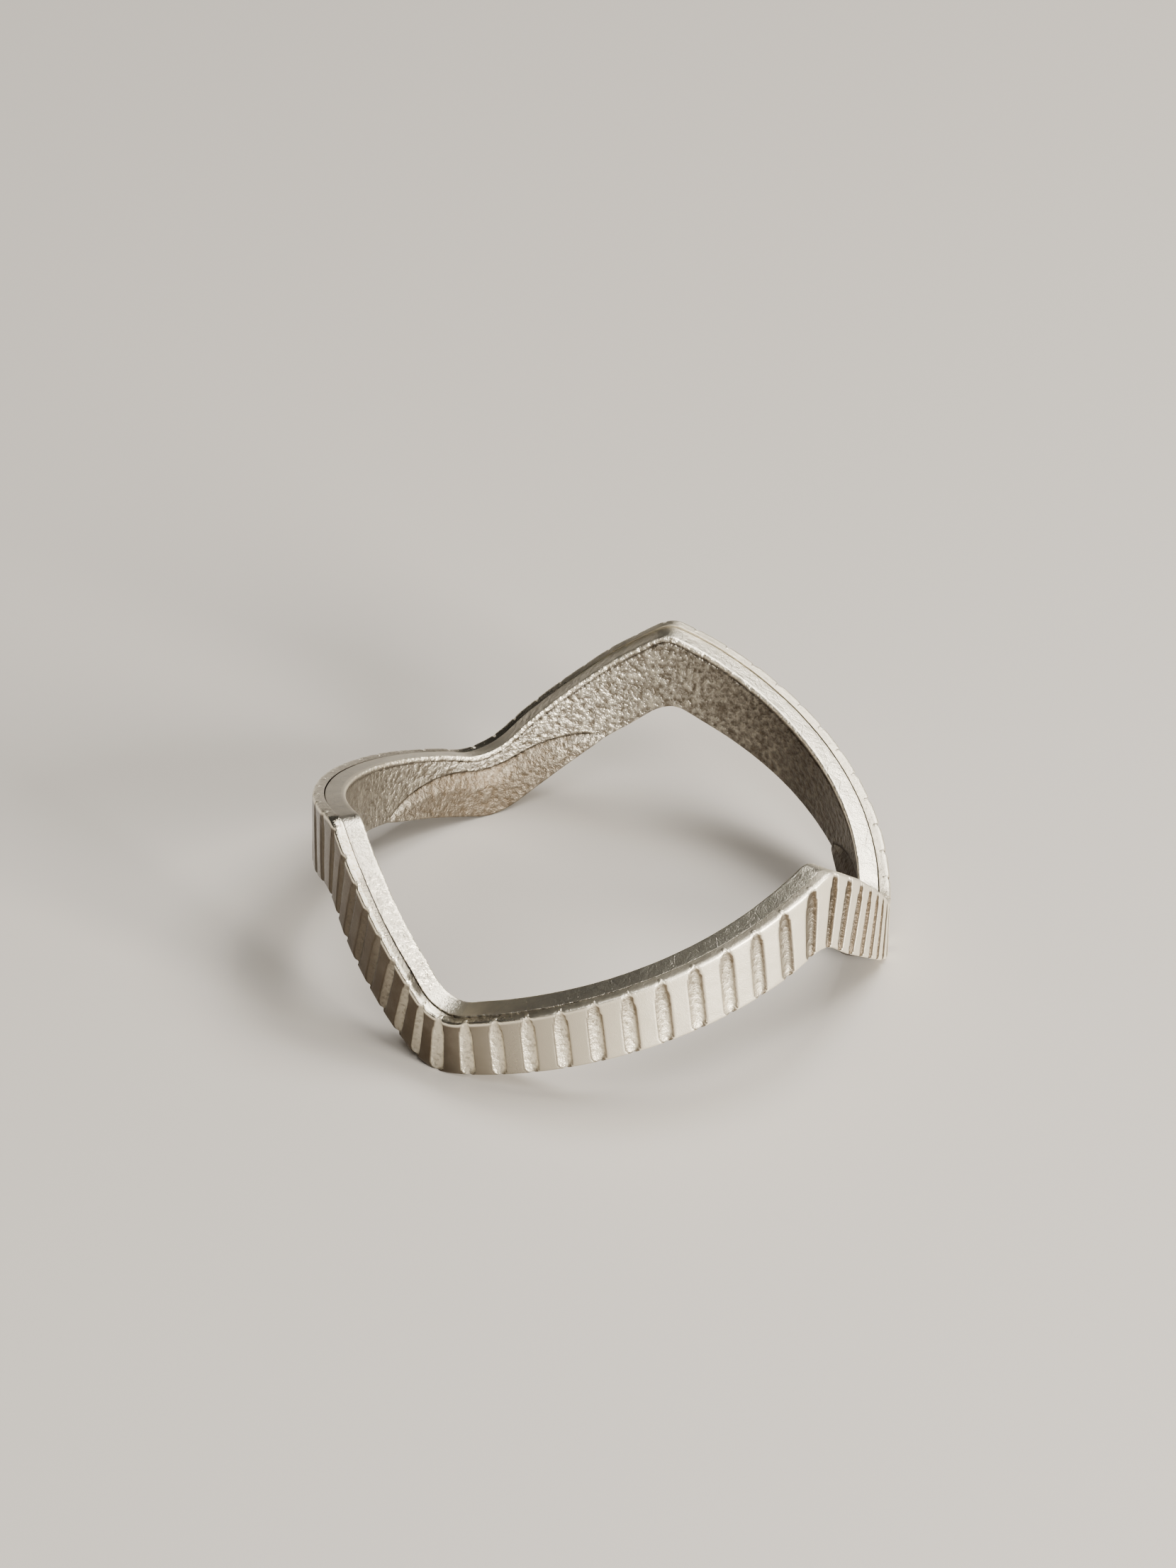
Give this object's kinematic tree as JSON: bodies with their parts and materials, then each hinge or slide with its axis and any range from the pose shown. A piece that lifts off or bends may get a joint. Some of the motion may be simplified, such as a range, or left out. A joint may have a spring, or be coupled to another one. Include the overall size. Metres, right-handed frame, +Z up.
{
  "type": "metal ring puzzle",
  "caption": "Wavy metal puzzle ring: a thin band fluted on the outside with a plain band nested inside it, standing on three low points.",
  "frame": {"origin": "on the ring's axis, in the plane that the three low points rest on", "axes": "+Z up along the ring's axis; +X towards one of the three low points"},
  "size_m": [0.033, 0.033, 0.0116],
  "materials": {
    "fluted_metal": "worn antique silver, polished on the lands and edges, rough cast in the flutes",
    "plain_metal": "antique silver with a fine cast grain, darker on the inside wall"
  },
  "bodies": {
    "outer_ring": {"outer_band": "fluted_metal"},
    "inner_ring": {"inner_band": "plain_metal"}
  },
  "joints": [
    {"name": "inner_ring_lift", "type": "slide", "parent": "outer_ring", "child": "inner_ring", "axis": [0, 0, 1], "range_m": [0, 0.014]}
  ]
}
